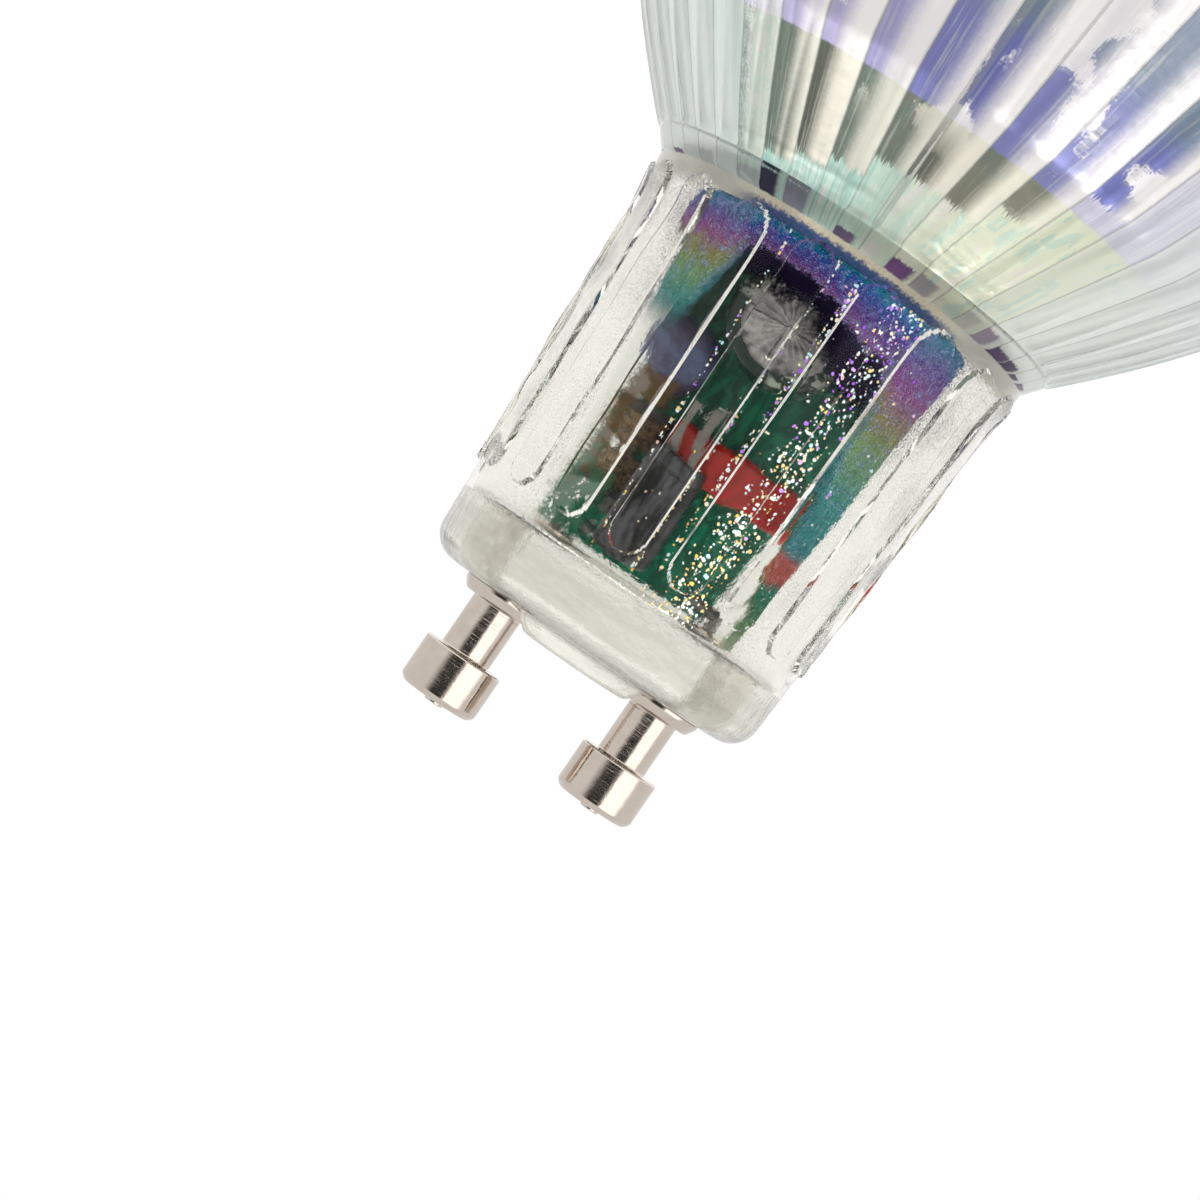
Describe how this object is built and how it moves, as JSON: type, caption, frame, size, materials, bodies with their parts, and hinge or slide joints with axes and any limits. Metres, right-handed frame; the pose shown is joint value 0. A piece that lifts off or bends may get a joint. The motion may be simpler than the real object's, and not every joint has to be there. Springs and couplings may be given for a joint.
{
  "type": "gu10 spotlight bulb",
  "caption": "Mains spotlight bulb: a fluted glass reflector body with a reeded neck, two twist-lock contact pins, a driver board inside and an opal front cover.",
  "frame": {"origin": "centre of the glass rim's flat end, on which the bulb stands face down", "axes": "+Z along the bulb's axis from the rim to the contact pins, X through both pins, the driver board faces -Y"},
  "size_m": [0.05, 0.05, 0.054],
  "materials": {
    "clear_glass": "clear pressed glass, mirror-coated inside the bowl",
    "nickel_plate": "warm nickel plating on turned brass",
    "tinned_wire": "tinned copper",
    "bare_aluminium": "bare stamped aluminium",
    "black_rubber": "moulded rubber",
    "dark_sleeve": "shrunk plastic sleeve",
    "black_case": "moulded dark plastic",
    "red_dip": "dipped lacquer",
    "dark_ferrite": "sintered ferrite",
    "copper_winding": "enamelled copper wire",
    "blue_dip": "dipped lacquer",
    "green_board": "solder mask over glass fibre board",
    "tan_ceramic": "sintered ceramic",
    "tin_shield": "tinplate",
    "white_board": "white solder mask on an aluminium core",
    "yellow_phosphor": "phosphor gel",
    "opal_cover": "opal diffuser"
  },
  "bodies": {
    "root": {"glass_body": "clear_glass", "contact_pin_left": "nickel_plate", "contact_pin_right": "nickel_plate", "lead_wire_left": "tinned_wire", "lead_wire_right": "tinned_wire", "capacitor_can": "bare_aluminium", "capacitor_bung": "black_rubber", "capacitor_sleeve": "dark_sleeve", "capacitor_leads": "tinned_wire", "smoothing_capacitor": "black_case", "smoothing_capacitor_leads": "tinned_wire", "film_capacitor": "red_dip", "film_capacitor_leads": "tinned_wire", "choke_core": "dark_ferrite", "choke_winding": "copper_winding", "choke_leads": "tinned_wire", "varistor": "blue_dip", "varistor_leads": "tinned_wire", "driver_board": "green_board", "bridge_rectifier": "black_case", "driver_chip": "black_case", "driver_chip_legs": "tinned_wire", "chip_resistors": "black_case", "chip_capacitors": "tan_ceramic", "radio_board": "green_board", "radio_shield": "tin_shield", "heat_spreader": "bare_aluminium", "led_board": "white_board", "led_packages": "yellow_phosphor", "front_cover": "opal_cover"}
  },
  "joints": []
}
